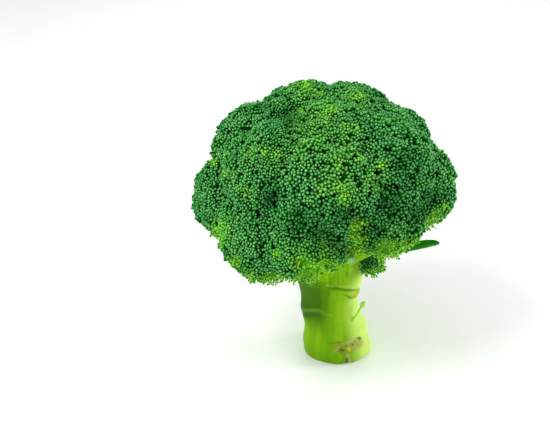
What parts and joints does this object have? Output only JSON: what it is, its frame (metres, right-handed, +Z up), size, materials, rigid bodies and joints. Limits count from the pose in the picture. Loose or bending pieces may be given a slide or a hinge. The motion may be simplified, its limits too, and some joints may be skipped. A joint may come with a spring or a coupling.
{
  "type": "broccoli head",
  "caption": "Head of broccoli standing on its cut stalk: a domed crown of budded florets on a branching light green stem, with small leaves below.",
  "frame": {"origin": "On the surface that the head stands on, under the middle of the head's bounding box; the cut end of the stalk lies in the plane Z = 0.", "axes": "+Z up along the height of the standing head, -Y towards the side that the picture shows, +X to the right of someone who looks at that side."},
  "size_m": [0.1486, 0.1421, 0.1612],
  "materials": {
    "stalk": "moist smooth plant skin, light green, with pale ribs and brownish leaf scars",
    "buds": "densely packed small flower buds, dark green with bluish bloom on their tips",
    "leaf": "dark green waxy leaf blade",
    "bract": "pale whitish green young leaf"
  },
  "bodies": {
    "root": {"stalk": "stalk", "floret_top_front": "buds", "floret_top_right": "buds", "floret_top_left": "buds", "floret_mid_front": "buds", "floret_mid_front_left": "buds", "floret_mid_left": "buds", "floret_mid_back_left": "buds", "floret_mid_back": "buds", "floret_mid_right": "buds", "floret_mid_front_right": "buds", "floret_low_front_right": "buds", "floret_low_right": "buds", "floret_low_front": "buds", "floret_low_front_left": "buds", "floret_low_left": "buds", "floret_low_back_left": "buds", "floret_low_back": "buds", "floret_low_back_right": "buds", "floret_hanging_small": "buds", "leaf_right": "leaf", "leaf_left": "leaf", "bract_front": "bract"}
  },
  "joints": []
}
